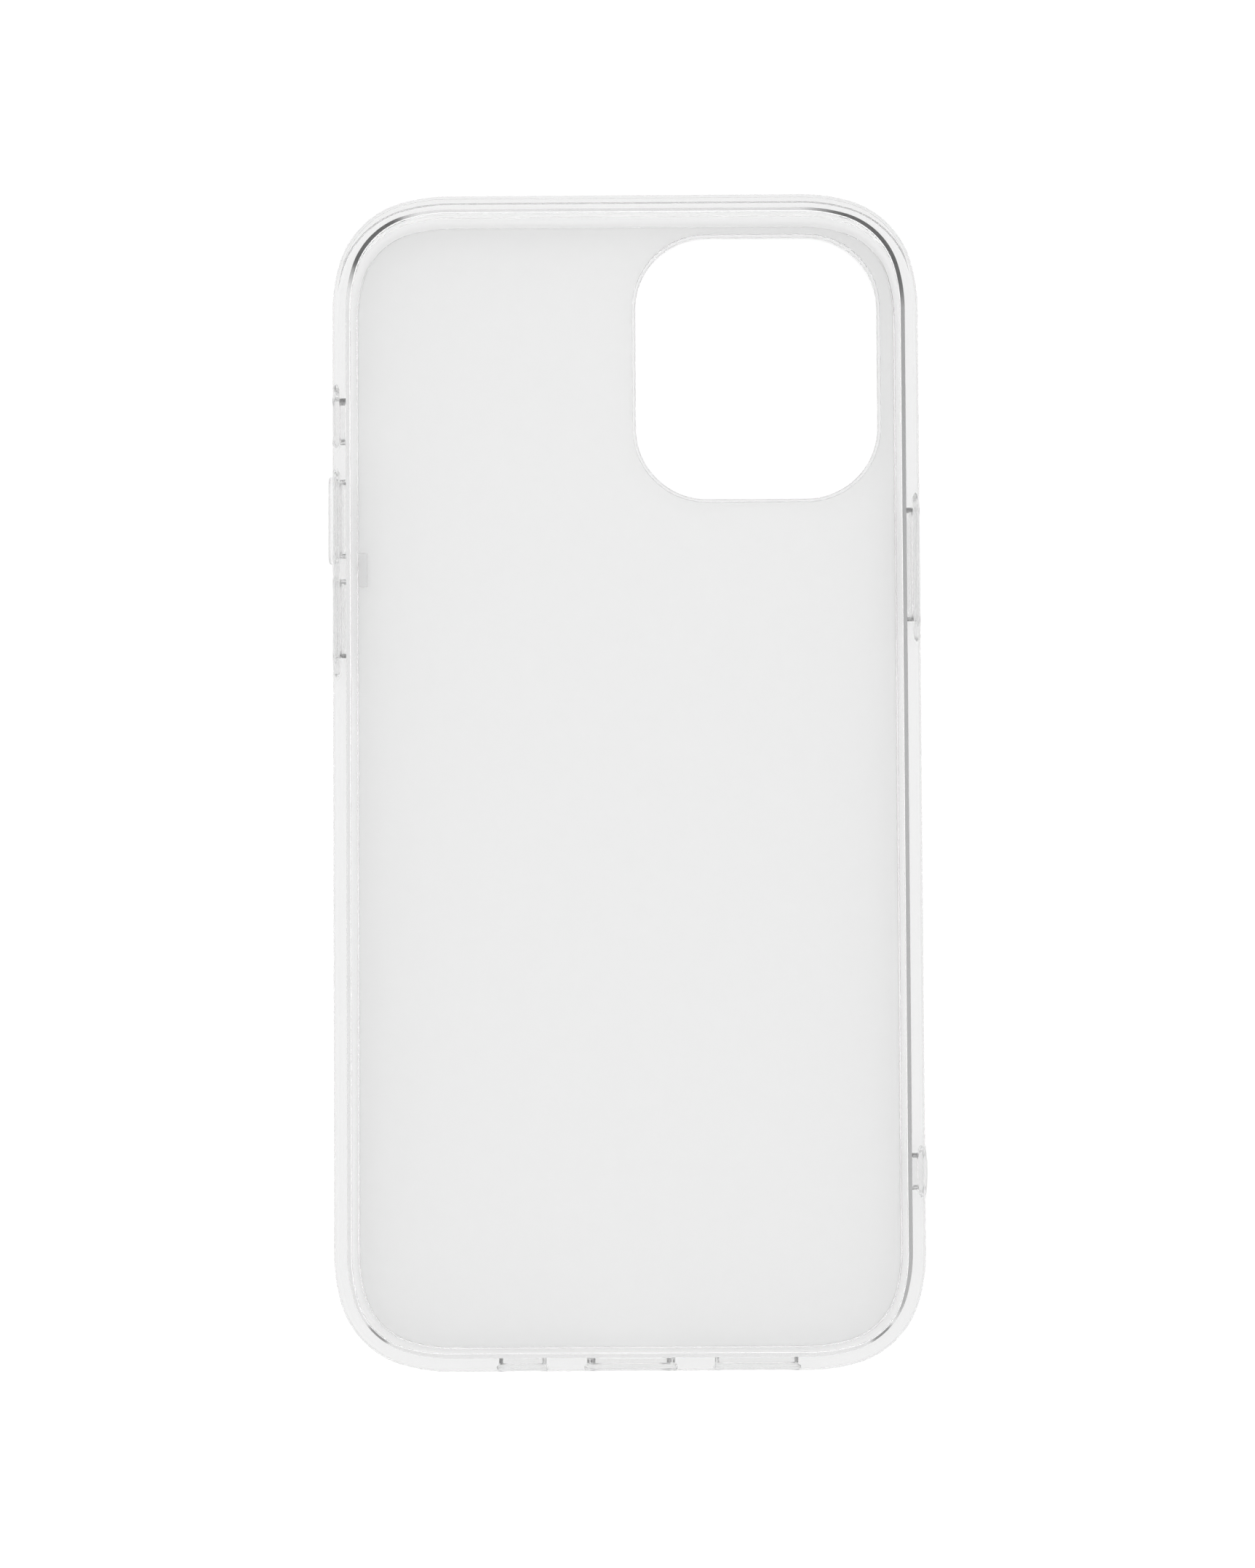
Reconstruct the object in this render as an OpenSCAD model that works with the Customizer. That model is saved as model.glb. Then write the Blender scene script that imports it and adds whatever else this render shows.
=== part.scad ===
// Clear phone case: hard back plate in a soft bumper frame, with a camera ring and three button covers.
// It lies on its back, open side up. X is across the case, +Y points to its top end, Z = 0 is its resting face.

/* [Outline] */
// Width across the two side walls
case_w = 75; // [72:0.1:80]
// Length from the bottom wall to the top wall
case_l = 150.2; // [148:0.1:160]
// Height from the resting face to the top of the front lip
case_h = 10.3; // [10:0.1:12]
// Radius at the middle of each corner
corner_r = 11.5; // [10.5:0.5:13]
// Larger radius that eases each corner into the straight walls
ease_r = 22; // [18:0.5:24]

/* [Bumper frame] */
// Thickness of the walls
wall_t = 1.65; // [1.5:0.05:1.8]
// Distance from the outline to the inner edge of the front lip
lip_in = 2; // [1.9:0.05:2.2]
// Height of the front lip's inner face
lip_t = 0.85; // [0.6:0.05:1]
// Rounding of the outer edge at the front
front_round = 0.9; // [0.5:0.1:1.2]
// Rounding of the lip's inner edge
lip_round = 0.3; // [0.2:0.05:0.4]
// Rounding of the outer edge at the back
back_round = 1.5; // [0.8:0.1:1.6]
// Fillet between the walls and the floor inside
floor_fillet = 0.8; // [0.5:0.1:0.9]
// Width and height of the chamfer between the resting bead and the plate
bead_chamfer = [0.25, 0.35];

/* [Back plate] */
// Thickness of the plate
plate_t = 1.1; // [1:0.1:1.2]
// Height of the plate's outer face above the resting face
plate_raise = 0.5; // [0.4:0.1:0.6]
// Distance from the outline to the plate's visible edge
plate_in = 2.85; // [2.8:0.05:3.2]
// Thickness of the tongue that locks the plate into the frame
tongue_t = 0.4; // [0.3:0.1:0.5]
// Reach of the tongue past the plate's visible edge
tongue_reach = 0.8; // [0.5:0.1:0.9]
// Moulding gate pad on the plate's inner face: across, along and high
gate = [1.05, 4.3, 0.12];
// Middle of the gate pad along the case
gate_y = 28.1; // [20:0.1:36]

/* [Camera opening] */
// Width of the opening
cam_w = 31.2; // [28:0.1:33]
// Length of the opening
cam_l = 34; // [28:0.1:36]
// Corner radius of the opening
cam_r = 9.2; // [6:0.1:12]
// Middle of the opening across the case
cam_x = 16.9; // [15:0.1:17]
// Middle of the opening along the case
cam_y = 53.85; // [50:0.05:54]
// Width of the ring seen inside the case
ring_w = 0.5; // [0.4:0.1:0.8]
// Extra width of the ring's flange under the plate
ring_flange = 0.6; // [0.5:0.1:1.1]

/* [Button covers] */
// Middle of the buttons and side openings above the resting face
key_z = 5.3; // [5:0.1:5.5]
// Height of the button heads
key_h = 4; // [3.6:0.1:4.2]
// Length of each volume button's head
volume_l = 11.3; // [9:0.1:11.5]
// Middle of the volume-up and volume-down buttons along the case
volume_y = [33.8, 20.95];
// How far the volume-up head stands out of the wall
volume_up_proud = 0.72; // [0:0.01:1]
// How far the other heads stand out of the wall
flush_proud = 0.05; // [0:0.01:0.6]
// Length of the side button's head
side_l = 15.8; // [12:0.1:17]
// Middle of the side button along the case
side_y = 27.5; // [25:0.1:29]
// Depth at which each head stops and its stem starts
head_back = 0.45; // [0.3:0.05:0.5]
// Depth of the inner end of each stem
stem_end = 1.25; // [1:0.05:1.3]
// Margin from the head's edge to the stem's edge
stem_margin = 0.7; // [0.5:0.1:0.9]
// Gap round the stem, where the real cover has a thin flexing web
stem_gap = 0.2; // [0.1:0.05:0.25]

/* [Side openings] */
// Depth of the finger scoops in the walls
scoop_d = 0.9; // [0.85:0.05:1]
// Height of the side scoops
scoop_h = 6; // [5.6:0.1:6.2]
// Outer ends of the ring switch scoop along the case
switch_scoop = [41.8, 52];
// Ends of the ring switch window along the case
switch_y = [43.2, 49.4];
// Outer ends of the volume buttons' scoop along the case
volume_scoop = [12.5, 40.9];
// Outer ends of the side button's scoop along the case
side_scoop = [16.4, 37.6];
// Height of the ring switch window
switch_h = 5; // [4.4:0.1:5.4]

/* [Strap slot] */
// Middle of the strap slot along the case
strap_y = -50.1; // [-52:0.1:-45]
// Length of the strap slot
strap_l = 4.8; // [4:0.1:5.2]
// Height of the strap slot
strap_h = 4.6; // [4:0.1:5]
// Outer length of the strap slot's scoop
strap_scoop_l = 8.2; // [7.4:0.1:9]
// How far the bridge over the strap slot bows out of the wall
bridge_bow = 0.45; // [0.2:0.05:0.8]
// Length of the bridge where it leaves the wall
bridge_l = 8.8; // [8.4:0.1:9.4]
// Thickness of the bridge
bridge_t = 0.95; // [0.8:0.05:1]
// Height of the bridge
bridge_h = 2.2; // [1.8:0.1:2.6]

/* [Bottom openings] */
// Outer ends of the microphone scoop across the case
mic_x = [-17.4, -10];
// Outer ends of the charging port scoop across the case
port_x = [-6.3, 6.4];
// Outer ends of the speaker scoop across the case
speaker_x = [10, 22];
// Height of the microphone and speaker slots
slot_h = 2.4; // [1.8:0.1:3]
// Height of the charging port opening
port_h = 5.2; // [5:0.1:5.4]
// Corner radius of the charging port opening
port_r = 2.3; // [1.5:0.1:2.4]
// Slope of the bottom scoops' ends
bottom_slope = 0.65; // [0.3:0.05:0.9]

/* [Hidden] */
$fn = 96;

floor_z = plate_raise + plate_t;
tongue_z = plate_raise + (plate_t - tongue_t) / 2;
shelf_z = plate_raise + plate_t / 2;
// Direction in which each easing arc ends: both numbers are exact, so the arcs' centres are round numbers
ease_dir = [0.96, 0.28];
// Distance of the middle arc's centre from both walls, and the length of wall that a corner takes up
mid_inset = ease_r - (ease_r - corner_r) * ease_dir[0];
corner_run = mid_inset + (ease_r - corner_r) * ease_dir[1];
// The plate's swept rim overlaps its plain core by the difference of these two insets
rim_in = corner_r - 0.7;
core_in = rim_in - 0.5;
past = 1;
clear_c = [0.93, 0.95, 0.96, 0.55];
plate_c = [0.84, 0.85, 0.86, 0.75];
button_c = [0.80, 0.84, 0.88, 0.7];

// Flat shapes

module rounded_rect(w, l, r) {
    square([w - 2 * r, l], center = true);
    square([w, l - 2 * r], center = true);
    for (x = [-1, 1], y = [-1, 1]) translate([x * (w / 2 - r), y * (l / 2 - r)]) circle(r);
}

// What a rounding of radius r takes off the corner at the origin, for a solid lying towards +X +Y
module corner_waste(r) {
    difference() {
        translate([-past, -past]) square(r + past);
        translate([r, r]) circle(r);
    }
}

// Section of the frame: x is the distance in from the outline, y is the height
module frame_section() {
    lip_z = case_h - lip_t;
    lip_step = lip_in - wall_t;
    difference() {
        union() {
            square([wall_t, case_h]);
            square([plate_in, floor_z]);
            polygon([[0, lip_z - lip_step], [wall_t, lip_z - lip_step], [lip_in, lip_z],
                     [lip_in, case_h], [0, case_h]]);
            difference() {
                square([wall_t + floor_fillet, floor_z + floor_fillet]);
                translate([wall_t + floor_fillet, floor_z + floor_fillet]) circle(floor_fillet);
            }
        }
        corner_waste(back_round);
        translate([0, case_h]) mirror([0, 1]) corner_waste(front_round);
        translate([lip_in, case_h]) rotate(180) corner_waste(lip_round);
        polygon([[plate_in + past, plate_raise], [plate_in, plate_raise], [plate_in - bead_chamfer[0],
                 plate_raise - bead_chamfer[1]], [plate_in - bead_chamfer[0], -past], [plate_in + past, -past]]);
        translate([plate_in - tongue_reach, tongue_z]) square([tongue_reach + past, tongue_t]);
    }
}

// Sweeps along the outline

// The stretch of a ring of radius r round [x, y] that lies between two directions
module arc_sweep(x, y, r, from, to) {
    translate([x, y, 0]) intersection() {
        rotate_extrude() translate([-r, 0]) children();
        translate([0, 0, -past]) linear_extrude(case_h + 2 * past)
            polygon([[0, 0], 4 * r * from, 4 * r * to]);
    }
}

module corner_sweep() {
    x = case_w / 2;
    y = case_l / 2;
    ease_end = [ease_dir[1], ease_dir[0]];
    arc_sweep(x - ease_r, y - corner_run, ease_r, [1, 0], ease_dir) children();
    arc_sweep(x - mid_inset, y - mid_inset, corner_r, ease_dir, ease_end) children();
    arc_sweep(x - corner_run, y - ease_r, ease_r, ease_end, [0, 1]) children();
}

module outline_sweep() {
    side_run = case_l - 2 * corner_run;
    end_run = case_w - 2 * corner_run;
    for (turn = [0, 180]) rotate([0, 0, turn]) {
        translate([case_w / 2, -side_run / 2, 0]) rotate([90, 0, 180]) linear_extrude(side_run) children();
        translate([end_run / 2, case_l / 2, 0]) rotate([90, 0, -90]) linear_extrude(end_run) children();
        corner_sweep() children();
        mirror([1, 0, 0]) corner_sweep() children();
    }
}

// A flat slab with the case's outline drawn in by inset
module slab(inset, z, t) {
    outline_sweep() translate([inset, z]) square([rim_in - inset, t]);
    translate([-case_w / 2 + core_in, -case_l / 2 + core_in, z])
        cube([case_w - 2 * core_in, case_l - 2 * core_in, t]);
}

// Places on the walls: local X runs into the case, local Y along the wall, local Z up from the buttons' middle

module on_side(side, y) {
    translate([side * case_w / 2, y, key_z]) mirror([side > 0 ? 1 : 0, 0, 0]) children();
}

module on_bottom(x) {
    translate([x, -case_l / 2, key_z]) rotate([0, 0, 90]) children();
}

// A rounded bar through the wall from one depth to another
module wall_bar(l, h, r, from, to) {
    translate([from, 0, 0]) rotate([90, 0, 90]) linear_extrude(to - from) rounded_rect(l, h, r);
}

// A scoop in the wall's outer face, l long at the outline and with ends that slope in by slope
module scoop(l, h, slope, depth = scoop_d) {
    over = past * slope / depth;
    translate([0, 0, -h / 2]) linear_extrude(h)
        polygon([[-past, -l / 2 - over], [depth, -l / 2 + slope], [depth, l / 2 - slope], [-past, l / 2 + over]]);
}

function middle(ends) = (ends[0] + ends[1]) / 2;
function span(ends) = ends[1] - ends[0];

module side_scoops() {
    on_side(-1, middle(switch_scoop)) scoop(span(switch_scoop), scoop_h, 1.6);
    on_side(-1, middle(volume_scoop)) scoop(span(volume_scoop), scoop_h, 1.2);
    on_side(1, middle(side_scoop)) scoop(span(side_scoop), scoop_h, 1.6);
    on_side(1, strap_y) scoop(strap_scoop_l, scoop_h, 1.3);
}

module stem_hole(l) {
    grow = 2 * (stem_gap - stem_margin);
    wall_bar(l + grow, key_h + grow, (key_h + grow) / 2 - 0.1, 0, lip_in + past);
}

module side_holes() {
    on_side(-1, middle(switch_y)) wall_bar(span(switch_y), switch_h, 1.5, 0, lip_in + past);
    for (y = volume_y) on_side(-1, y) stem_hole(volume_l);
    on_side(1, side_y) stem_hole(side_l);
    on_side(1, strap_y) wall_bar(strap_l, strap_h, 1, 0, lip_in + past);
}

module bottom_openings() {
    for (ends = [mic_x, port_x, speaker_x]) on_bottom(middle(ends)) scoop(span(ends), scoop_h, bottom_slope);
    for (ends = [mic_x, speaker_x])
        on_bottom(middle(ends)) wall_bar(span(ends) - 2 * bottom_slope, slot_h, slot_h / 2 - 0.1, 0, lip_in + past);
    on_bottom(middle(port_x)) wall_bar(span(port_x) - 2 * bottom_slope, port_h, port_r, 0, lip_in + past);
}

// The bowed bar that a strap's cord loops round
module strap_bridge() {
    r = (bridge_l * bridge_l / 4 + bridge_bow * bridge_bow) / (2 * bridge_bow);
    on_side(1, strap_y) translate([0, 0, -bridge_h / 2]) linear_extrude(bridge_h) intersection() {
        difference() {
            translate([r - bridge_bow, 0]) circle(r, $fn = 256);
            translate([r - bridge_bow, 0]) circle(r - bridge_t, $fn = 256);
        }
        translate([-past, -bridge_l / 2]) square([past + wall_t, bridge_l]);
    }
}

module camera_prism(grow, z, t) {
    translate([cam_x, cam_y, z]) linear_extrude(t)
        rounded_rect(cam_w + 2 * grow, cam_l + 2 * grow, cam_r + grow);
}

// A button cover: a head in the scoop, and a stem through the wall that presses the phone's own button
module button(l, proud) {
    wall_bar(l, key_h, key_h / 2 - 0.1, -proud, head_back);
    wall_bar(l - 2 * stem_margin, key_h - 2 * stem_margin, key_h / 2 - stem_margin - 0.1, head_back, stem_end);
}

// Sub-parts

module back_plate() {
    color(plate_c) {
        difference() {
            union() {
                slab(plate_in, plate_raise, plate_t);
                slab(plate_in - tongue_reach, tongue_z, tongue_t);
            }
            camera_prism(ring_w, plate_raise - past, plate_t + 2 * past);
            camera_prism(ring_w + ring_flange, plate_raise - past, shelf_z - plate_raise + past);
        }
        translate([plate_in + gate[0] / 2 - 0.35 - case_w / 2, gate_y, floor_z + gate[2] / 2])
            cube(gate, center = true);
    }
}

module bumper_frame() {
    color(clear_c) {
        difference() {
            outline_sweep() frame_section();
            side_scoops();
            side_holes();
            bottom_openings();
        }
        strap_bridge();
    }
}

module camera_ring() {
    color(clear_c) difference() {
        union() {
            camera_prism(ring_w, 0, floor_z);
            camera_prism(ring_w + ring_flange, 0, shelf_z);
        }
        camera_prism(0, -past, floor_z + 2 * past);
    }
}

module volume_up_button() {
    color(button_c) on_side(-1, volume_y[0]) button(volume_l, volume_up_proud);
}

module volume_down_button() {
    color(button_c) on_side(-1, volume_y[1]) button(volume_l, flush_proud);
}

module side_button() {
    color(button_c) on_side(1, side_y) button(side_l, flush_proud);
}

back_plate();
bumper_frame();
camera_ring();
volume_up_button();
volume_down_button();
side_button();
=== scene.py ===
"""Clear phone case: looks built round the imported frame. Lengths are millimetres until a mesh is made."""
import math
from collections import namedtuple

import bmesh
import bpy
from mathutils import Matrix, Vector


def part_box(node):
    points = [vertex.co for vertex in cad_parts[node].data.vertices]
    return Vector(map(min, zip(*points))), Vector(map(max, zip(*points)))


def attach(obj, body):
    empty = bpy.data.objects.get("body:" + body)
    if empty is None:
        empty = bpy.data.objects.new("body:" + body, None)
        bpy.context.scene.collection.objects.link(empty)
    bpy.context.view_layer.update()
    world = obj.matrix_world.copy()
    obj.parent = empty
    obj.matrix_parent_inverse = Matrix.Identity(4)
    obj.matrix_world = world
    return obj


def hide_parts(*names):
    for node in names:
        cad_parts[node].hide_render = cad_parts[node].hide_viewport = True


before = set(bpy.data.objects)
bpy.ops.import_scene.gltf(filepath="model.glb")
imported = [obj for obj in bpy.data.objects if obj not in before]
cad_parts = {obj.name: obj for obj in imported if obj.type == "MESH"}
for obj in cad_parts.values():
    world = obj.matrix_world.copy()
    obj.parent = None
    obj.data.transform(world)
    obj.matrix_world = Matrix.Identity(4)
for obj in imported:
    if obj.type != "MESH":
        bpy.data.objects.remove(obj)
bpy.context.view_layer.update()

MM = 0.001


# --- Driving sizes -------------------------------------------------------------------------------------

def box_mm(node):
    low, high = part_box(node)
    return low / MM, high / MM


frame_low, frame_high = box_mm("bumper_frame")
ring_low, ring_high = box_mm("camera_ring")
HALF_W = -frame_low.x
HALF_L = frame_high.y
CASE_H = frame_high.z

# The outline's corners: a middle arc between two larger easing arcs, which meet it at the angle
# whose cosine and sine are given
CORNER_R = 11.5
EASE_R = 22
EASE_COS, EASE_SIN = 0.96, 0.28
MID_INSET = EASE_R - (EASE_R - CORNER_R) * EASE_COS
CORNER_RUN = MID_INSET + (EASE_R - CORNER_R) * EASE_SIN

# The bumper frame's section. The lip's sloped underside mirrors the surroundings, so its angle sets what
# the clear edge shows; the small back round keeps the top wall from showing a dark band.
WALL_T = 1.65
LIP_IN = 2.3
LIP_T = 0.85
FRONT_ROUND = 0.6
LIP_ROUND = 0.12
LIP_SLOPE = 41.3
CORNER_LIP = 0.12
BACK_ROUND = 0.3
FLOOR_FILLET = 0.8

# The back bead that the case lies on: its chamfer (in, down) and the rounds at its edges
BEAD_CHAMFER = (0.25, 0.35)
BEAD_EDGE = 0.1
BEAD_SOFT = (0.03, 0.04)
BEAD_STEP = 0.05

# The hard plate and what it touches
PLATE_T = 1.1
PLATE_RAISE = 0.5
PLATE_IN = 2.85
FLOOR_Z = PLATE_RAISE + PLATE_T
SEAM = 0.01
SEAM_ROUND = 0.08
PLATE_ROUND = 0.2
PLATE_HOLE_ROUND = 0.03

# The camera opening, inside a soft ring
RING_W = 0.5
RING_FLANGE = 0.6
CAM_R = 9.2
CAM_HALF_W = (ring_high.x - ring_low.x) / 2 - RING_W - RING_FLANGE
CAM_HALF_L = (ring_high.y - ring_low.y) / 2 - RING_W - RING_FLANGE
CAM_X = (ring_low.x + ring_high.x) / 2
CAM_Y = (ring_low.y + ring_high.y) / 2

# Heights on the walls are measured from the middle of the buttons
KEY_Z = 5.3
KEY_H = 4.0
SCOOP_D = 0.9
SCOOP_HALF_H = 3.0
HEAD_BACK = 0.45
STEM_END = 1.25
STEM_MARGIN = 0.7
STEM_GAP = 0.2
END_FLAT = 0.1
STRAP_Y = -50.1


# --- The outline ---------------------------------------------------------------------------------------

# A place on the outline: where it is, which way is into the case, and on a straight wall its name and position
Station = namedtuple("Station", "x y in_x in_y wall u")

# Each straight wall: its outward side, and whether it runs along Y
WALLS = {"right": (1, True), "top": (1, False), "left": (-1, True), "bottom": (-1, False)}


def spread(start, end, step):
    """Even places from start to end, no more than a step apart."""
    count = max(1, math.ceil(abs(end - start) / step - 1e-6))
    return [start + (end - start) * i / count for i in range(count + 1)]


def turned(degrees):
    """The direction at an angle, as its cosine and sine."""
    return math.cos(math.radians(degrees)), math.sin(math.radians(degrees))


def wall_station(wall, u):
    side, along_y = WALLS[wall]
    if along_y:
        return Station(side * HALF_W, u, -side, 0, wall, u)
    return Station(u, side * HALF_L, 0, -side, wall, u)


def corner_stations(side_x, side_y, step=2.4):
    """One corner, from the side wall round to the end wall."""
    ease = math.degrees(math.atan2(EASE_SIN, EASE_COS))
    arcs = [
        (HALF_W - EASE_R, HALF_L - CORNER_RUN, EASE_R, 0, ease),
        (HALF_W - MID_INSET, HALF_L - MID_INSET, CORNER_R, ease, 90 - ease),
        (HALF_W - CORNER_RUN, HALF_L - EASE_R, EASE_R, 90 - ease, 90),
    ]
    found = []
    for x, y, r, start, end in arcs:
        for turn in spread(start, end, step)[:-1]:
            c, s = turned(turn)
            found.append((x + r * c, y + r * s, c, s))
    found.append((HALF_W - CORNER_RUN, HALF_L, 0, 1))
    return [
        Station(side_x * x, side_y * y, -side_x * c, -side_y * s, "corner", 0) for x, y, c, s in found
    ]


def wall_places(half_run, close, plain_step=2.5, nearest=0.06):
    """Places along a wall: far apart on plain stretches and close together where its shape changes.

    Each stretch in close is (start, end, step). Where two places fall too near each other, the wall's ends and
    the stretches' ends are kept first, then the places inside the stretches, then the plain ones.
    """
    wanted = [(end, 0) for end in (-half_run, half_run)]
    for start, end, step in close:
        wanted += [(u, 0 if u in (start, end) else 1) for u in spread(start, end, step)]
    wanted += [(u, 2) for u in spread(-half_run, half_run, plain_step)]
    kept = []
    for u, _ in sorted(wanted, key=lambda w: w[1]):
        if all(abs(u - k) > nearest for k in kept) and abs(u) < half_run:
            kept.append(u)
    return sorted(kept)


def outline_stations(close):
    """The whole outline, once round; close lists each wall's stretches that need places close together."""
    half_runs = {wall: (HALF_L if along_y else HALF_W) - CORNER_RUN for wall, (_, along_y) in WALLS.items()}
    walls = {
        wall: [wall_station(wall, u) for u in wall_places(half_run, close.get(wall, []))]
        for wall, half_run in half_runs.items()
    }
    return (
        walls["right"] + corner_stations(1, 1)
        + walls["top"][::-1] + corner_stations(-1, 1)[::-1]
        + walls["left"][::-1] + corner_stations(-1, -1)
        + walls["bottom"] + corner_stations(1, -1)[::-1]
    )


# --- Scoops and windows in the walls ---------------------------------------------------------------------

Scoop = namedtuple("Scoop", "wall start end slope")
Window = namedtuple("Window", "wall u half_l half_h radius")
Button = namedtuple("Button", "wall body y length proud")

# The finger hollows round the ring switch, the buttons, the strap slot and the three bottom openings
SCOOPS = [
    Scoop("left", 41.8, 52, 1.6),
    Scoop("left", 12.5, 40.9, 1.2),
    Scoop("right", 16.4, 37.6, 1.6),
    Scoop("right", STRAP_Y - 4.1, STRAP_Y + 4.1, 1.3),
    Scoop("bottom", -17.4, -10, 0.65),
    Scoop("bottom", -6.3, 6.4, 0.65),
    Scoop("bottom", 10, 22, 0.65),
]
SCOOP_EDGE = 0.25
SCOOP_SPARE = 0.05


def button_from_frame(node, wall, body):
    """A button's middle along the wall, its head's length and how far it stands out of the wall."""
    low, high = box_mm(node)
    return Button(wall, body, (low.y + high.y) / 2, high.y - low.y, max(-low.x, high.x) - HALF_W)


BUTTONS = {
    node: button_from_frame(node, wall, body)
    for node, wall, body in [
        ("volume_up_button", "left", "volume_up"),
        ("volume_down_button", "left", "volume_down"),
        ("side_button", "right", "side_key"),
    ]
}

STEM_HOLE_H = KEY_H / 2 - STEM_MARGIN + STEM_GAP
SWITCH_WINDOW = Window("left", 46.3, 3.1, 2.5, 1.5)
STRAP_WINDOW = Window("right", STRAP_Y, 2.4, 2.3, 1.0)
MICROPHONE_SLOT = Window("bottom", -13.7, 3.05, 1.2, 1.1)
CHARGING_PORT = Window("bottom", 0.05, 5.7, 2.6, 2.3)
SPEAKER_SLOT = Window("bottom", 16, 5.35, 1.2, 1.1)
STEM_HOLES = [
    Window(b.wall, b.y, b.length / 2 - STEM_MARGIN + STEM_GAP, STEM_HOLE_H, STEM_HOLE_H - END_FLAT)
    for b in BUTTONS.values()
]
WINDOWS = [SWITCH_WINDOW, STRAP_WINDOW, MICROPHONE_SLOT, CHARGING_PORT, SPEAKER_SLOT] + STEM_HOLES

# Every window's edges are rounded, so its hole in the wall's grid is larger than its clear opening. The grid's
# rows at GRID_WINDOW become the window's edges, those at GRID_FIXED stay, and along the wall the grid is
# pulled as far as WINDOW_REACH past a window's end.
RIM = 0.14
GRID_WINDOW = 2.4
GRID_FIXED = 2.8
WINDOW_REACH = 1.1
CLOSE_ENOUGH = 0.01


def bend(share, k):
    """A slope that starts at nought, rounded over k on both sides of its start."""
    if share <= -k:
        return 0
    return share if share >= k else (share + k) ** 2 / (4 * k)


def ramp(share, k=0.2):
    """Climbs from nought to one, rounded over k at its foot and its top."""
    return bend(share, k) - bend(share - 1, k)


def scoop_depth(wall, u, z):
    """How far the outer face is drawn in at one place; z is from the buttons' middle."""
    deepest = 0
    for s in SCOOPS:
        if s.wall == wall:
            lengthwise = ramp(min(u - s.start, s.end - u) / s.slope)
            upright = ramp((SCOOP_HALF_H + SCOOP_SPARE - abs(z)) / SCOOP_EDGE)
            deepest = max(deepest, SCOOP_D * lengthwise * upright)
    return deepest


def fade(x):
    """Falls smoothly from one to nought as x goes from nought to one."""
    x = min(max(x, 0), 1)
    return 1 - x * x * (3 - 2 * x)


def rounded_point(u, z, half_l, half_h, radius):
    """The point of a rounded rectangle that stands for the point u, z of the plain one."""
    cu, cz = half_l - radius, half_h - radius
    over = Vector((abs(u) - cu, abs(z) - cz))
    if over.x <= 0 or over.y <= 0:
        return u, z
    over *= max(over.x, over.y) / over.length
    return math.copysign(cu + over.x, u), math.copysign(cz + over.y, z)


def window_near(wall, u):
    for w in WINDOWS:
        if w.wall == wall and abs(u - w.u) < w.half_l + RIM + WINDOW_REACH:
            return w
    return None


def shaped_place(wall, u, z):
    """Moves a place of the wall's plain grid so that the grid has each window's rounded outline in it."""
    w = window_near(wall, u)
    if w is None or abs(z) > GRID_FIXED + CLOSE_ENOUGH:
        return u, z
    half_l, half_h, radius = w.half_l + RIM, w.half_h + RIM, w.radius + RIM
    du = u - w.u
    straight = 0.1
    share = fade((abs(du) - half_l - straight) / (WINDOW_REACH - straight))
    if abs(z) <= GRID_WINDOW:
        scaled = z * half_h / GRID_WINDOW
    else:
        past = (abs(z) - GRID_WINDOW) / (GRID_FIXED - GRID_WINDOW)
        scaled = math.copysign(half_h + past * (GRID_FIXED - half_h), z)
    z += (scaled - z) * share
    outside = max(abs(du) - half_l, abs(z) - half_h, 0)
    if abs(z) < GRID_FIXED - CLOSE_ENOUGH:
        on_u = min(max(du, -half_l), half_l)
        on_z = min(max(z, -half_h), half_h)
        ru, rz = rounded_point(on_u, on_z, half_l, half_h, radius)
        past_end = abs(du) - half_l >= abs(z) - half_h
        least_room = 0.05
        room = WINDOW_REACH if past_end else max(GRID_FIXED - half_h, least_room)
        pull = fade(outside / room)
        du += (ru - on_u) * pull
        z += (rz - on_z) * pull
    return w.u + du, z


# --- Meshes ----------------------------------------------------------------------------------------------

SHARP_ANGLE = 38
FLAT_FACE_WEIGHT = 80


def arc(cx, cz, r, start, end, step=9):
    """Points of an arc in a section, by its angles in degrees."""
    return [
        (cx + r * math.cos(math.radians(t)), cz + r * math.sin(math.radians(t)))
        for t in spread(start, end, step)
    ]


def make_object(name, points, faces, flat_faces=()):
    """A mesh object in metres from points in millimetres. The faces in flat_faces are shaded flat."""
    mesh = bpy.data.meshes.new(name)
    mesh.from_pydata([tuple(c * MM for c in p) for p in points], [], faces)
    bm = bmesh.new()
    bm.from_mesh(mesh)
    bmesh.ops.recalc_face_normals(bm, faces=bm.faces)
    for face in bm.faces:
        face.smooth = face.index not in flat_faces
    bm.to_mesh(mesh)
    bm.free()
    mesh.validate()
    mesh.set_sharp_from_angle(angle=math.radians(SHARP_ANGLE))
    piece = bpy.data.objects.new(name, mesh)
    bpy.context.scene.collection.objects.link(piece)
    return piece


def grid_faces(rows, columns, first=0, closed=True, skip=lambda i, j: False):
    """Faces between loops of points: rows of them, each closed, and the last joined to the first if closed."""
    return [
        (
            first + i * columns + j,
            first + (i + 1) % rows * columns + j,
            first + (i + 1) % rows * columns + (j + 1) % columns,
            first + i * columns + (j + 1) % columns,
        )
        for i in range(rows if closed else rows - 1)
        for j in range(columns)
        if not skip(i, j)
    ]


def end_caps(rows, columns):
    """One face over the first loop and one over the last."""
    return [tuple(range(columns)), tuple(range((rows - 1) * columns, rows * columns))]


def settle(piece):
    """Makes a piece's modifiers its own mesh."""
    bpy.context.view_layer.update()
    mesh = bpy.data.meshes.new_from_object(piece.evaluated_get(bpy.context.evaluated_depsgraph_get()))
    piece.modifiers.clear()
    piece.data = mesh


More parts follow.
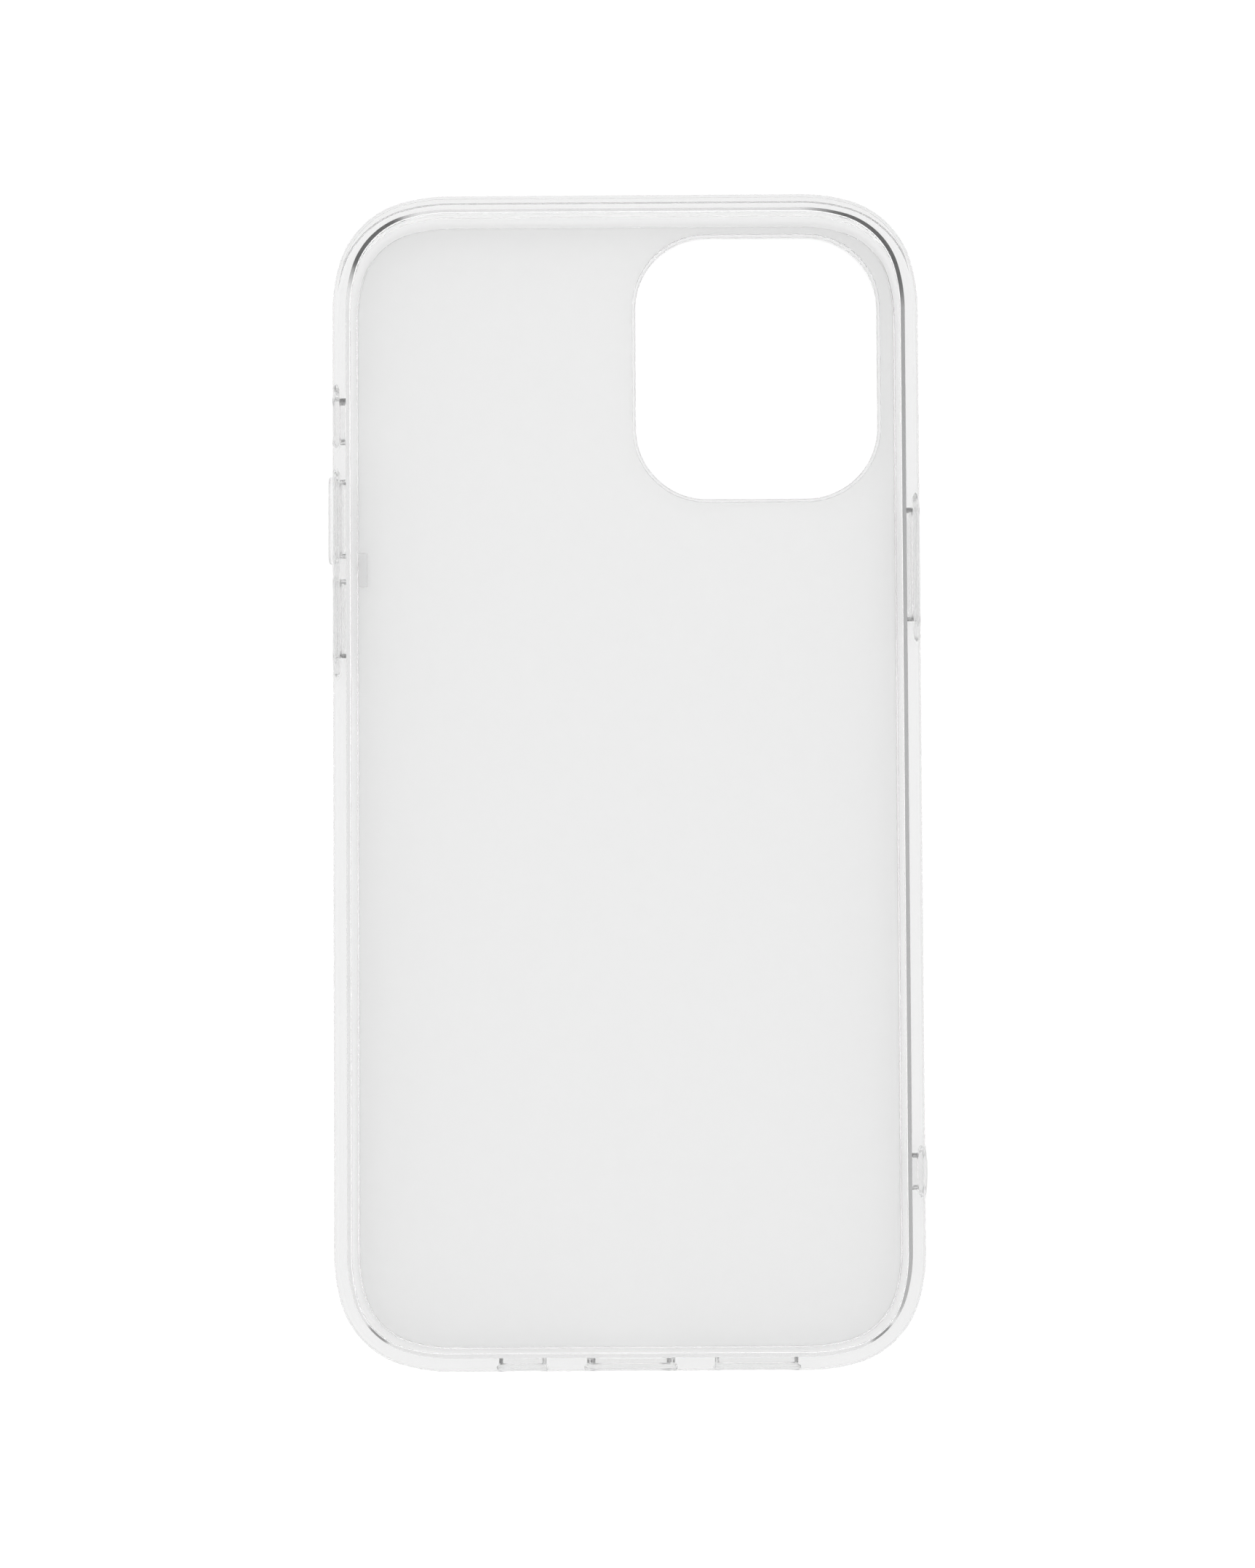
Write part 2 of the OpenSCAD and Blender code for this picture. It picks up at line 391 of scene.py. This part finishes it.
def unite(piece, other):
    """Joins two closed meshes into one."""
    join = piece.modifiers.new("join", "BOOLEAN")
    join.operation = "UNION"
    join.solver = "EXACT"
    join.object = other
    settle(piece)
    bpy.data.objects.remove(other)


def finished(piece, body, nodes, material):
    """Gives a piece its shading normals, its material, and its place in the frame.

    The normals lean to the large flat faces, since a clear wall shows any bend in them as a false line.
    """
    even = piece.modifiers.new("even_normals", "WEIGHTED_NORMAL")
    even.keep_sharp = True
    even.weight = FLAT_FACE_WEIGHT
    settle(piece)
    piece.data.materials.clear()
    piece.data.materials.append(material)
    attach(piece, body)
    if nodes:
        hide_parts(*nodes)
    return piece


# --- Lofts over rounded rectangles ---------------------------------------------------------------------------

# The corners of a rounded rectangle: which way each lies, and the angle where its arc starts
ROUNDED_CORNERS = ((1, 1, 0), (-1, 1, 90), (-1, -1, 180), (1, -1, 270))


def rounded_loop(half_w, half_l, radius, step=4.5):
    """A rounded rectangle as (centre of its arc, direction) pairs, so that it can be grown evenly."""
    loop = []
    for sx, sy, start in ROUNDED_CORNERS:
        for t in spread(start, start + 90, step):
            loop.append((sx * (half_w - radius), sy * (half_l - radius), *turned(t)))
    return loop


def loft(loop, radius, profile, place):
    """Points of loops that follow a profile of (growth, height); place turns (u, v, height) into a point."""
    return [
        place(cu + (radius + grow) * c, cv + (radius + grow) * s, height)
        for grow, height in profile
        for cu, cv, c, s in loop
    ]


def capped_loft(name, loop, radius, profile, place):
    """A solid from a loft, with a flat face at each end."""
    points = loft(loop, radius, profile, place)
    sides = grid_faces(len(profile), len(loop), closed=False)
    caps = end_caps(len(profile), len(loop))
    return make_object(name, points, sides + caps, range(len(sides), len(sides) + len(caps)))


def camera_opening_place(u, v, z):
    return CAM_X + u, CAM_Y + v, z


# --- The bumper frame --------------------------------------------------------------------------------------

# Heights of the grid's rows in the part of the walls that scoops and windows share, and past it the outer
# face's close rows where the scoops' upper and lower edges bend
SHARED_ROWS = (
    [-GRID_FIXED, -2.6] + spread(-GRID_WINDOW, GRID_WINDOW, 0.3) + [2.6, GRID_FIXED]
)
EDGE_ROWS = [2.84, 2.88, 2.92, 2.96, 3.0, 3.04, 3.08, 3.14]


def lip_reach(station):
    """How far the lip comes in: more round the top corners than along the walls, and less at the lower ones."""
    most = CORNER_LIP if station.y > 0 else -2 * CORNER_LIP
    return LIP_IN + most * (2 * abs(station.in_x * station.in_y)) ** 1.5


def frame_section(lip_in=LIP_IN):
    """The section as (distance in, height, row of the shared grid or None), once round."""
    outer = [-z for z in reversed(EDGE_ROWS)] + SHARED_ROWS + EDGE_ROWS
    section = [(*p, None) for p in arc(BACK_ROUND, BACK_ROUND, BACK_ROUND, 270, 180)]
    section += [
        (0, KEY_Z + z, ("outer", SHARED_ROWS.index(z) if z in SHARED_ROWS else z)) for z in outer
    ]
    top = CASE_H - FRONT_ROUND
    section += [(*p, None) for p in arc(FRONT_ROUND, top, FRONT_ROUND, 180, 90)]
    section += [(*p, None) for p in arc(lip_in - LIP_ROUND, CASE_H - LIP_ROUND, LIP_ROUND, 90, 0, 15)]
    under = CASE_H - LIP_T
    drop = (lip_in - WALL_T) * math.tan(math.radians(LIP_SLOPE))
    section += [(lip_in, under, None), (WALL_T, under - drop, None)]
    section += [
        (WALL_T, KEY_Z + z, ("inner", k)) for k, z in reversed(list(enumerate(SHARED_ROWS)))
    ]
    centre = (WALL_T + FLOOR_FILLET, FLOOR_Z + FLOOR_FILLET)
    section += [(*p, None) for p in arc(*centre, FLOOR_FILLET, 180, 270)]
    seam = (PLATE_IN - SEAM_ROUND, FLOOR_Z - SEAM_ROUND)
    section += [(*p, None) for p in arc(*seam, SEAM_ROUND, 90, 0, 30)]
    bead_x, bead_z = PLATE_IN - BEAD_CHAMFER[0], PLATE_RAISE - BEAD_CHAMFER[1]
    section += [(PLATE_IN, PLATE_RAISE + BEAD_STEP, None)]
    section += [(PLATE_IN - BEAD_SOFT[0], PLATE_RAISE - BEAD_SOFT[1], None)]
    section += [(bead_x + BEAD_SOFT[0], bead_z + BEAD_SOFT[1], None)]
    section += [(*p, None) for p in arc(bead_x - BEAD_EDGE, BEAD_EDGE, BEAD_EDGE, 0, -90, 30)]
    return section


def frame_stations():
    """The outline, with places close together where scoops and windows start and end."""
    close = {wall: [] for wall in WALLS}
    before, past, slope_step = 0.3, 1.3, 0.12
    round_step, outside_step, straight_step = 0.28, 0.3, 0.8
    for s in SCOOPS:
        for end, inward in ((s.start, 1), (s.end, -1)):
            reach = [end - before * inward * s.slope, end + past * inward * s.slope]
            close[s.wall].append((min(reach), max(reach), slope_step * s.slope))
    for w in WINDOWS:
        half = w.half_l + RIM
        for side in (-1, 1):
            edge, inside, outside = (w.u + side * x for x in (half, half - w.radius, half + WINDOW_REACH))
            close[w.wall] += [(min(edge, inside), max(edge, inside), round_step)]
            close[w.wall] += [(min(edge, outside), max(edge, outside), outside_step)]
        close[w.wall] += [(w.u - half, w.u + half, straight_step)]
    return outline_stations(close)


def frame_point(station, d, z, row):
    """The point a distance d in from the outline; rows of the shared grid take on scoops and windows."""
    if row is None or station.wall == "corner":
        return (station.x + d * station.in_x, station.y + d * station.in_y, z)
    face, k = row
    u, rel = shaped_place(station.wall, station.u, SHARED_ROWS[k] if isinstance(k, int) else k)
    if face == "outer":
        d = scoop_depth(station.wall, u, rel)
    at = wall_station(station.wall, u)
    return (at.x + d * at.in_x, at.y + d * at.in_y, KEY_Z + rel)


def window_span(stations, window):
    """The stations that bound a window's hole in the grid."""
    reach = window.half_l + RIM + 3 * CLOSE_ENOUGH
    inside = [
        i for i, s in enumerate(stations) if s.wall == window.wall and abs(s.u - window.u) < reach
    ]
    return min(inside), max(inside)


def window_edge(first, last, low_k, high_k):
    """The (station, row) pairs once round a window's hole."""
    edge = [(i, low_k) for i in range(first, last)]
    edge += [(last, k) for k in range(low_k, high_k)]
    edge += [(i, high_k) for i in range(last, first, -1)]
    edge += [(first, k) for k in range(high_k, low_k, -1)]
    return edge


def rim_profile(depth):
    """A window's edge from the outer face to the inner one: how far out of the clear opening, and how deep."""
    turns = [math.radians(t) for t in (30, 60, 90)]
    near = [(RIM * (1 - math.sin(t)), RIM * (1 - math.cos(t))) for t in turns]
    return near + [(grow, depth - down) for grow, down in reversed(near)]


def beyond(value, limit):
    """How far a value is past a limit on its own side of nought, with its sign."""
    return max(abs(value) - limit, 0) * (value > 0 or -1)


def rim_point(window, u, z, grow, down):
    """One point of a window's rounded edge, for the place u, z on the border of its hole."""
    half_l, half_h, radius = window.half_l + RIM, window.half_h + RIM, window.radius + RIM
    plain_u = min(max(u - window.u, -half_l), half_l)
    plain_z = z / GRID_WINDOW * half_h
    ru, rz = rounded_point(plain_u, plain_z, half_l, half_h, radius)
    away = Vector((beyond(ru, half_l - radius), beyond(rz, half_h - radius)))
    away.normalize()
    shrink = RIM - grow
    at = wall_station(window.wall, window.u + ru - away.x * shrink)
    d = SCOOP_D + down
    return (at.x + d * at.in_x, at.y + d * at.in_y, KEY_Z + rz - away.y * shrink)


def build_frame():
    """The section swept round the outline, with a hole through the wall's grid for each window."""
    stations = frame_stations()
    section = frame_section()
    columns = len(section)
    points = [frame_point(s, *entry) for s in stations for entry in frame_section(lip_reach(s))]
    # Known fault: the edge row at 3.0 has the same key as shared row 3. So that row is left standing across
    # every window, and a slit of the outer face is open at the edge row instead.
    column_of = {entry[2]: j for j, entry in enumerate(section) if entry[2]}
    low_k, high_k = SHARED_ROWS.index(-GRID_WINDOW), SHARED_ROWS.index(GRID_WINDOW)
    holes = set()
    tunnels = []
    for w in WINDOWS:
        first, last = window_span(stations, w)
        for i in range(first, last):
            for k in range(low_k, high_k):
                holes.add((i, column_of["outer", k]))
                holes.add((i, column_of["inner", k + 1]))
        edge = window_edge(first, last, low_k, high_k)
        loops = [[i * columns + column_of["outer", k] for i, k in edge]]
        for grow, down in rim_profile(WALL_T - SCOOP_D):
            loops.append(list(range(len(points), len(points) + len(edge))))
            points += [rim_point(w, stations[i].u, SHARED_ROWS[k], grow, down) for i, k in edge]
        loops.append([i * columns + column_of["inner", k] for i, k in edge])
        for a, b in zip(loops, loops[1:]):
            tunnels += [
                (a[n], a[(n + 1) % len(a)], b[(n + 1) % len(a)], b[n]) for n in range(len(a))
            ]
    faces = grid_faces(len(stations), columns, skip=lambda i, j: (i, j) in holes)
    return make_object("bumper_frame_moulded", points, faces + tunnels)


def strap_bridge():
    """The bowed bar that a strap's cord loops round, as a loft of rounded sections from end to end."""
    half, bow, thick, half_h, soft = 4.5, 0.45, 0.95, 1.1, 0.3
    row_step = 0.3
    outline = [(a + soft * c, b + soft * s) for a, b, c, s in rounded_loop(thick / 2, half_h, soft, 22.5)]
    rows = spread(-half, half, row_step)
    points = []
    for u in rows:
        middle = HALF_W + bow * (1 - (u / half) ** 2) - thick / 2
        points += [(middle + a, STRAP_Y + u, KEY_Z + b) for a, b in outline]
    sides = grid_faces(len(rows), len(outline), closed=False)
    return make_object("strap_bridge", points, sides + end_caps(len(rows), len(outline)))


# --- The camera ring and the buttons -------------------------------------------------------------------------

def build_camera_ring():
    """The ring's section, swept round the opening: a round below and a steep bevel above on its inner edge."""
    ease, foot = 0.3, 0.15
    bevel_low = FLOOR_Z - 0.66
    bevel_in, bevel_up = 0.015, 0.06
    top_run, top_drop, top_soft = 0.07, 0.02, 0.03
    edge = RING_W - SEAM
    section = arc(ease, ease, ease, 270, 180, 15)
    section += [(0, bevel_low), (bevel_in, bevel_low + bevel_up)]
    section += [(edge - top_run, FLOOR_Z - top_drop), (edge - top_soft, FLOOR_Z), (edge, FLOOR_Z - top_soft)]
    section += arc(edge - foot, foot, foot, 0, -90, 15)
    loop = rounded_loop(CAM_HALF_W, CAM_HALF_L, CAM_R)
    points = loft(loop, CAM_R, section, camera_opening_place)
    return make_object("camera_ring_moulded", points, grid_faces(len(section), len(loop)))


def build_button(node):
    """A head with softly rounded edges, and a stem that goes through the wall."""
    button = BUTTONS[node]
    side = WALLS[button.wall][0]
    half_l, half_h = button.length / 2, KEY_H / 2
    radius = half_h - END_FLAT
    well_proud = 0.3
    soft = 0.35 if button.proud > well_proud else 0.18
    back_soft, stem_soft, neck = 0.12, 0.15, 0.1
    flat_top = 0.55
    profile = [(-radius * flat_top, button.proud)]
    profile += arc(-soft, button.proud - soft, soft, 90, 0, 15)
    profile += arc(-back_soft, -HEAD_BACK + back_soft, back_soft, 0, -90, 30)
    profile += [(-STEM_MARGIN + neck, -HEAD_BACK), (-STEM_MARGIN, -HEAD_BACK - neck)]
    profile += arc(-STEM_MARGIN - stem_soft, -STEM_END + stem_soft, stem_soft, 0, -90, 30)
    return capped_loft(
        node + "_moulded", rounded_loop(half_l, half_h, radius, 6), radius, profile,
        lambda u, v, h: (side * (HALF_W + h), button.y + u, KEY_Z + v),
    )


# --- The hard plate --------------------------------------------------------------------------------------

def fill_between(points, faces, borders):
    """Adds flat faces between two loops of points; each border gives the first index and length of both."""
    mesh = bpy.data.meshes.new("unfilled")
    mesh.from_pydata(points, [], faces)
    bm = bmesh.new()
    bm.from_mesh(mesh)
    bm.verts.ensure_lookup_table()
    for border in borders:
        edges = []
        for first, count in border:
            for j in range(count):
                edges.append(bm.edges.get((bm.verts[first + j], bm.verts[first + (j + 1) % count])))
        bmesh.ops.triangle_fill(bm, use_beauty=True, use_dissolve=False, edges=edges)
    bm.faces.ensure_lookup_table()
    filled = [tuple(v.index for v in f.verts) for f in bm.faces]
    places = [tuple(v.co) for v in bm.verts]
    bm.free()
    bpy.data.meshes.remove(mesh)
    return places, filled


def build_plate():
    """Eased edges round the outline and the camera opening, joined by a flat face above and below."""
    inset = PLATE_IN + SEAM + PLATE_ROUND
    rim = arc(inset, FLOOR_Z - PLATE_ROUND, PLATE_ROUND, 90, 180, 22.5)
    rim += arc(inset, PLATE_RAISE + PLATE_ROUND, PLATE_ROUND, 180, 270, 22.5)
    stations = outline_stations({})
    points = [(s.x + d * s.in_x, s.y + d * s.in_y, z) for d, z in rim for s in stations]
    faces = grid_faces(len(rim), len(stations), closed=False)
    soft = PLATE_HOLE_ROUND
    hole = arc(RING_W + soft, FLOOR_Z - soft, soft, 90, 180, 30)
    hole += arc(RING_W + soft, PLATE_RAISE + soft, soft, 180, 270, 30)
    loop = rounded_loop(CAM_HALF_W, CAM_HALF_L, CAM_R)
    base = len(points)
    points += loft(loop, CAM_R, hole, camera_opening_place)
    faces += grid_faces(len(hole), len(loop), base, closed=False)
    last_rim = (len(rim) - 1) * len(stations)
    last_hole = base + (len(hole) - 1) * len(loop)
    above = ((0, len(stations)), (base, len(loop)))
    below = ((last_rim, len(stations)), (last_hole, len(loop)))
    places, filled = fill_between(points, faces, [above, below])
    return make_object("back_plate_moulded", places, filled, range(len(faces), len(filled)))


def build_gate_pad():
    """The small pad where the plate's plastic came into its mould."""
    half_w, half_l, high, radius = 0.55, 2.2, 0.12, 0.2
    from_edge = 0.05
    x = -HALF_W + PLATE_IN + half_w + from_edge
    y = 27.8
    lift, foot, top_soft, in_reach = 0.008, 0.03, 0.06, 0.15
    profile = [(-in_reach, lift)] + arc(-foot, lift + foot, foot, -90, 0, 45)
    profile += arc(-top_soft, high - top_soft, top_soft, 0, 90, 30) + [(-in_reach, high)]
    return capped_loft(
        "plate_gate_pad", rounded_loop(half_w, half_l, radius, 15), radius, profile,
        lambda u, v, z: (x + u, y + v, FLOOR_Z + z),
    )


# --- Materials -------------------------------------------------------------------------------------------

def linear(colour):
    """A six-digit sRGB colour as linear red, green, blue and one."""
    parts = [int(colour[i:i + 2], 16) / 255 for i in (0, 2, 4)]
    return [p / 12.92 if p <= 0.04045 else ((p + 0.055) / 1.055) ** 2.4 for p in parts] + [1]


def add_node(tree, kind, settings=None, links=None, **named):
    """Adds a node; settings go on its own fields, links join sockets, and named values go on its inputs."""
    made = tree.nodes.new(kind)
    for key, value in (settings or {}).items():
        setattr(made, key, value)
    for key, value in named.items():
        made.inputs[key.replace("_", " ")].default_value = value
    for key, source in (links or {}).items():
        tree.links.new(source, made.inputs[key])
    return made


def clear_plastic(name, tint, through, ior, roughness, grain, relief, clearness):
    """A clear moulded plastic: it bends what the eye sees, and lets lamps through to what is behind it.

    tint colours what is seen through it, and through is the colour of the light that its shadow lets past.
    grain is the size of the marks that the mould left and relief their depth, both in millimetres, and
    roughness ranges over those marks.
    """
    material = bpy.data.materials.new(name)
    material.use_nodes = True
    tree = material.node_tree
    tree.nodes.clear()
    place = add_node(tree, "ShaderNodeTexCoord").outputs["Object"]
    marks = add_node(tree, "ShaderNodeTexNoise", links={"Vector": place}, Scale=1 / (grain * MM), Detail=3.0)
    rough = add_node(
        tree, "ShaderNodeMapRange", links={"Value": marks.outputs["Fac"]},
        To_Min=roughness[0], To_Max=roughness[1],
    )
    bump = add_node(
        tree, "ShaderNodeBump", links={"Height": marks.outputs["Fac"]}, Strength=1.0, Distance=relief * MM
    )
    body = add_node(
        tree, "ShaderNodeBsdfPrincipled", {},
        {"Roughness": rough.outputs["Result"], "Normal": bump.outputs["Normal"]},
        Base_Color=linear(tint), IOR=ior, Transmission_Weight=clearness,
    )
    lamps = add_node(tree, "ShaderNodeBsdfTransparent", Color=linear(through))
    path = add_node(tree, "ShaderNodeLightPath")
    either = add_node(
        tree, "ShaderNodeMath", {"operation": "MAXIMUM"},
        {0: path.outputs["Is Shadow Ray"], 1: path.outputs["Is Diffuse Ray"]},
    )
    mix = add_node(
        tree, "ShaderNodeMixShader",
        links={0: either.outputs[0], 1: body.outputs["BSDF"], 2: lamps.outputs["BSDF"]},
    )
    add_node(tree, "ShaderNodeOutputMaterial", links={"Surface": mix.outputs["Shader"]})
    return material


TPU_IOR = 1.5
POLYCARBONATE_IOR = 1.58

# Thermoplastic polyurethane from a polished mould. The eye gets water-clear walls with sharp bright and dark
# lines at every edge, broken a little by slow waves about 3 mm across where the soft plastic shrank.
clear_tpu = clear_plastic(
    "clear_tpu_polished", "f6f6f6", "f1f1f1", TPU_IOR,
    roughness=(0.0, 0.012), grain=3.0, relief=0.0004, clearness=0.97,
)

# The same plastic where the mould was left satin for the fingers. The eye gets clear covers whose edges are
# softer and paler than the frame's, from marks about 1.2 mm across.
satin_tpu = clear_plastic(
    "clear_tpu_satin_covers", "f6f6f6", "f4f4f4", TPU_IOR,
    roughness=(0.06, 0.12), grain=1.2, relief=0.0015, clearness=0.95,
)

# Polycarbonate from a finely blasted mould. The eye gets an even pale grey sheet that blurs what lies under it.
# A real blasted grain is finer than 0.35 mm; it is drawn this coarse so that it can show.
frosted_pc = clear_plastic(
    "polycarbonate_lightly_frosted", "e8e8e8", "f0f0f0", POLYCARBONATE_IOR,
    roughness=(0.18, 0.26), grain=0.35, relief=0.002, clearness=0.75,
)

# The polycarbonate where the gate was trimmed off. The eye gets a small patch that is cloudier than the plate,
# from cutting marks drawn 0.3 mm across.
gate_pc = clear_plastic(
    "polycarbonate_gate_vestige", "ebebeb", "ebebeb", POLYCARBONATE_IOR,
    roughness=(0.3, 0.45), grain=0.3, relief=0.004, clearness=0.7,
)


# --- Floor, light and camera: from here on, lengths are metres ----------------------------------------------

FLOOR_HALF = 3.0
FLOOR_BELOW = 0.00006


def build_floor():
    """A sheet of matt white paper, just below the case: the eye gets plain white with no gloss."""
    corners = ((-1, -1), (1, -1), (1, 1), (-1, 1))
    mesh = bpy.data.meshes.new("studio_floor")
    mesh.from_pydata([(x * FLOOR_HALF, y * FLOOR_HALF, -FLOOR_BELOW) for x, y in corners], [], [(0, 1, 2, 3)])
    floor = bpy.data.objects.new("studio_floor", mesh)
    bpy.context.scene.collection.objects.link(floor)
    material = bpy.data.materials.new("studio_paper_white")
    material.use_nodes = True
    body = material.node_tree.nodes["Principled BSDF"]
    body.inputs["Base Color"].default_value = linear("f8f8f8")
    body.inputs["Roughness"].default_value = 0.9
    body.inputs["Specular IOR Level"].default_value = 0.0
    mesh.materials.append(material)


# Black flags that stand round the table, in degrees: where each stands from +X, how high, and how far from its
# middle it is still full and is gone; and the share of the light that it stops
Flag = namedtuple("Flag", "azimuth elevation full gone stopped")
FLAGS = [
    Flag(48, 8, 26, 44, 1.0),
    Flag(132, 8, 16, 32, 1.0),
    Flag(0, 8, 14, 36, 0.5),
    Flag(-50, 8, 5, 14, 0.7),
    Flag(-132, 8, 5, 14, 0.7),
]


def build_world():
    """A white studio, a little darker at the horizon, with black flags for the clear edges to pick up.

    The camera itself sees a plain white surround behind the case.
    """
    world = bpy.data.worlds.new("studio")
    bpy.context.scene.world = world
    world.use_nodes = True
    tree = world.node_tree
    tree.nodes.clear()
    direction = add_node(tree, "ShaderNodeTexCoord").outputs["Generated"]
    height = add_node(tree, "ShaderNodeSeparateXYZ", links={"Vector": direction}).outputs["Z"]
    glow = add_node(
        tree, "ShaderNodeMapRange", {"interpolation_type": "SMOOTHSTEP"}, {"Value": height},
        From_Min=0.0, From_Max=0.5, To_Min=0.8, To_Max=0.98,
    ).outputs["Result"]
    for flag in FLAGS:
        (across_x, across_y), (level, up) = turned(flag.azimuth), turned(flag.elevation)
        along = add_node(tree, "ShaderNodeVectorMath", {"operation": "DOT_PRODUCT"}, {0: direction})
        along.inputs[1].default_value = (across_x * level, across_y * level, up)
        passed = add_node(
            tree, "ShaderNodeMapRange", {"interpolation_type": "SMOOTHSTEP"}, {"Value": along.outputs["Value"]},
            From_Min=math.cos(math.radians(flag.gone)), From_Max=math.cos(math.radians(flag.full)),
            To_Min=1.0, To_Max=1.0 - flag.stopped,
        )
        glow = add_node(
            tree, "ShaderNodeMath", {"operation": "MULTIPLY"}, {0: glow, 1: passed.outputs["Result"]}
        ).outputs[0]
    seen = add_node(tree, "ShaderNodeBackground", Color=linear("ffffff"), Strength=1.05)
    lit = add_node(tree, "ShaderNodeBackground", links={"Strength": glow}, Color=linear("ffffff"))
    path = add_node(tree, "ShaderNodeLightPath")
    mix = add_node(
        tree, "ShaderNodeMixShader",
        links={0: path.outputs["Is Camera Ray"], 1: lit.outputs[0], 2: seen.outputs[0]},
    )
    add_node(tree, "ShaderNodeOutputWorld", links={"Surface": mix.outputs[0]})


def build_light():
    """A large soft box overhead. The case's clear edges don't mirror or show it."""
    data = bpy.data.lights.new("soft_box", "AREA")
    data.shape = "SQUARE"
    data.size = 1.2
    data.energy = 10.0
    lamp = bpy.data.objects.new("soft_box", data)
    lamp.location = (0, 0.1, 1.3)
    lamp.visible_transmission = False
    lamp.visible_glossy = False
    bpy.context.scene.collection.objects.link(lamp)


# The camera looks down on the open side, leaning about four degrees towards the top end
CAMERA_PLACE = (0.00475, -0.05173, 0.74303)
CAMERA_TURN = (3.982, 0.392, -0.305)
LENS = 132.46
SENSOR_WIDTH = 36


def build_camera():
    data = bpy.data.cameras.new("camera")
    data.lens = LENS
    data.sensor_width = SENSOR_WIDTH
    camera = bpy.data.objects.new("camera", data)
    camera.location = CAMERA_PLACE
    camera.rotation_euler = [math.radians(a) for a in CAMERA_TURN]
    bpy.context.scene.collection.objects.link(camera)
    bpy.context.scene.camera = camera


# --- Everything together -----------------------------------------------------------------------------------

bumper = build_frame()
unite(bumper, strap_bridge())
finished(bumper, "case", ["bumper_frame"], clear_tpu)
finished(build_camera_ring(), "case", ["camera_ring"], clear_tpu)
finished(build_plate(), "case", ["back_plate"], frosted_pc)
finished(build_gate_pad(), "case", [], gate_pc)
for node, button in BUTTONS.items():
    finished(build_button(node), button.body, [node], satin_tpu)

build_floor()
build_world()
build_light()
build_camera()
bpy.context.scene.view_settings.view_transform = "Standard"

# Light turns many times inside clear walls, and a path that is cut short leaves a black spot
cycles = bpy.context.scene.cycles
cycles.max_bounces = 24
cycles.transmission_bounces = 24
cycles.glossy_bounces = 12
